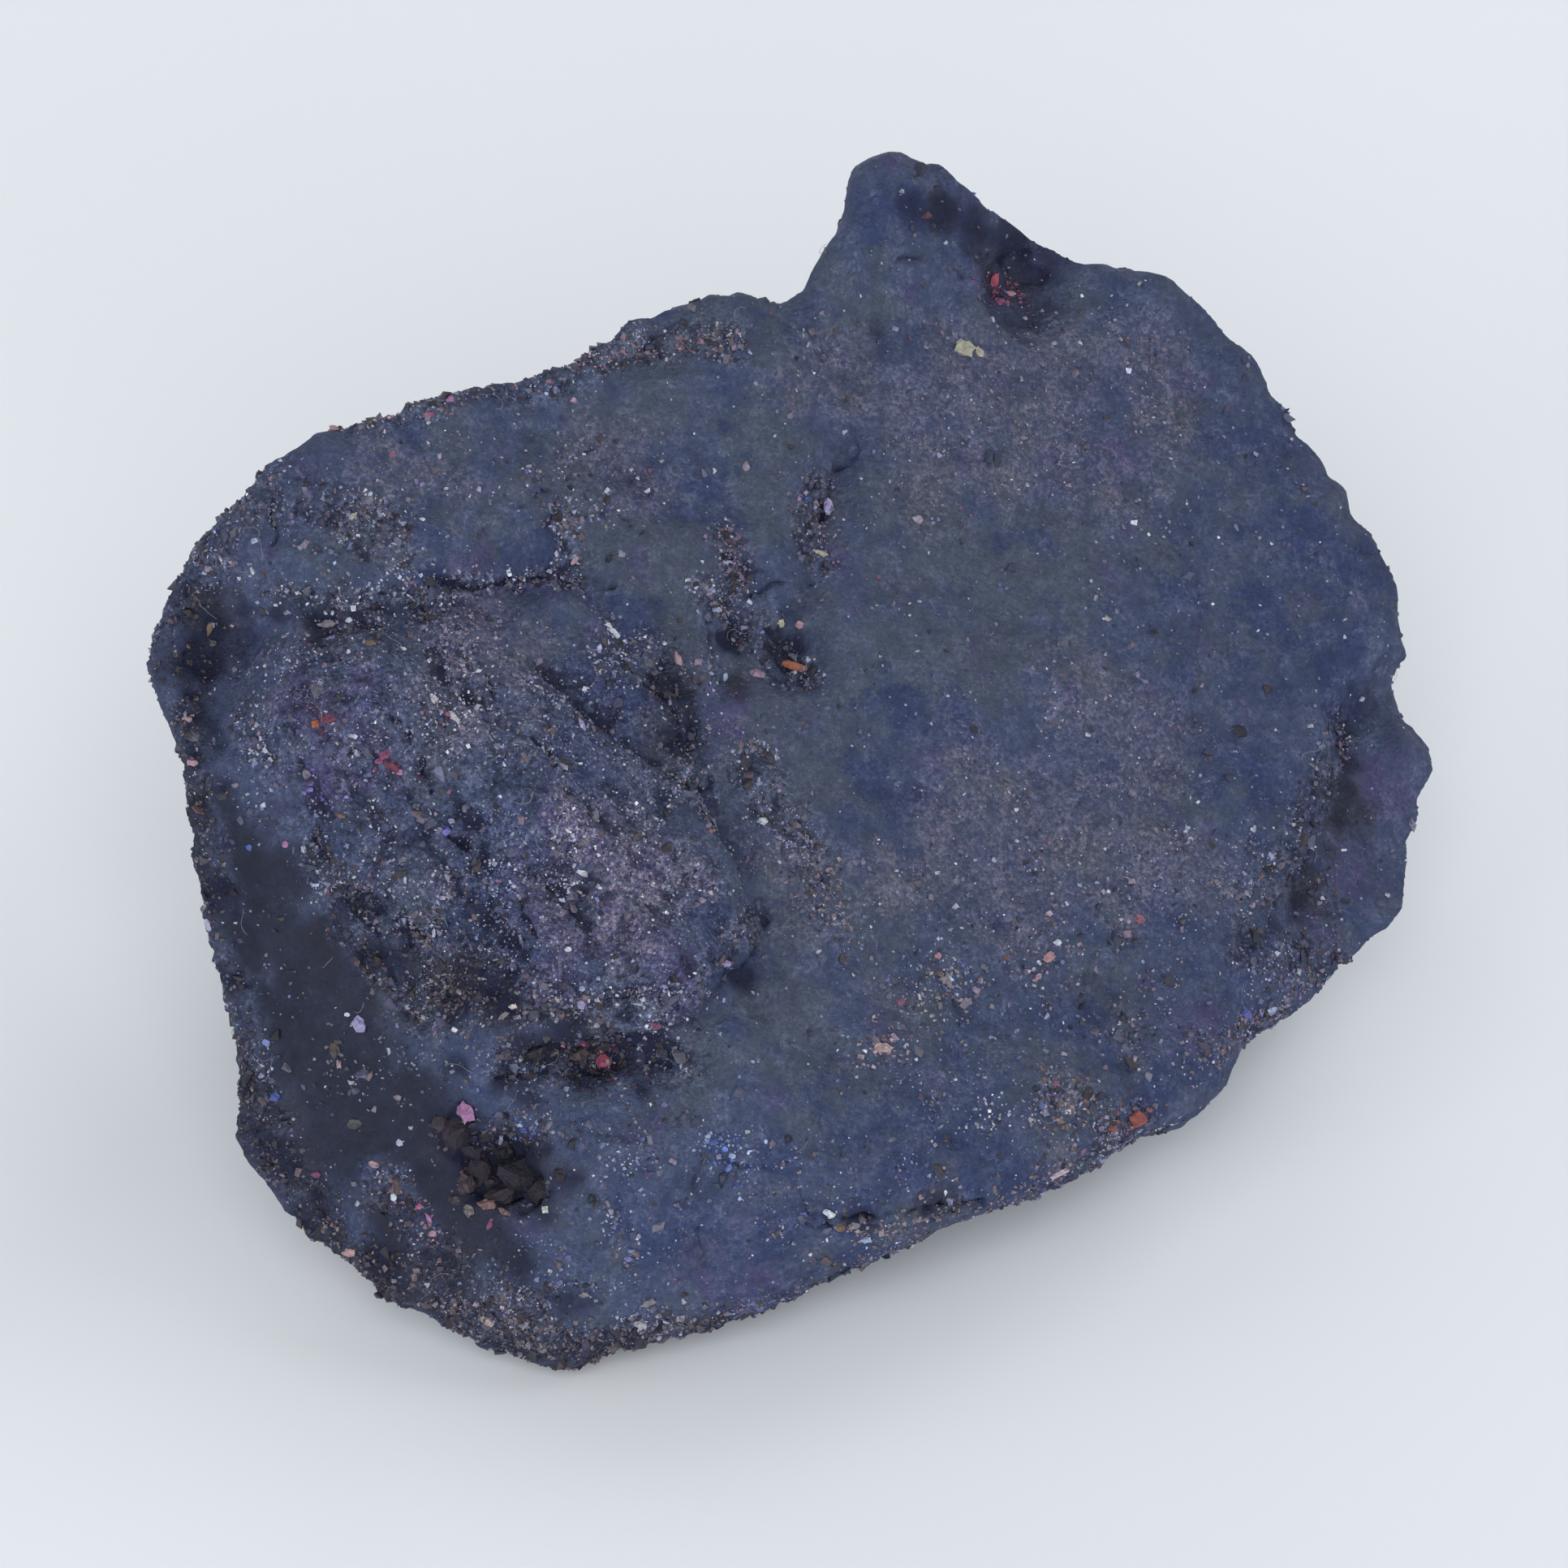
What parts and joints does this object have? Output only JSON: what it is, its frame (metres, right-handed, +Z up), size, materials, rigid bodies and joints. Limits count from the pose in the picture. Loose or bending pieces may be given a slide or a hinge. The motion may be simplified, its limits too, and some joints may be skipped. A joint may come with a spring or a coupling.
{
  "type": "rough sapphire",
  "caption": "Rough sapphire: an uncut dark blue-grey stone with a broad worn face, a raised tongue, a side lobe and a nub, lying on a small flat.",
  "frame": {"origin": "on the table, under the middle of the stone's bounding box", "axes": "+X along the longest extent, +Y from the low broad face towards the high back edge, +Z up from the table"},
  "size_m": [0.0386, 0.0336, 0.0231],
  "materials": {
    "sapphire_skin": "opaque dark slate blue with grey-green and violet patches, satin to dusty, with fine mineral grit and a few fibres on the skin"
  },
  "bodies": {
    "root": {"rough_sapphire": "sapphire_skin"}
  },
  "joints": []
}
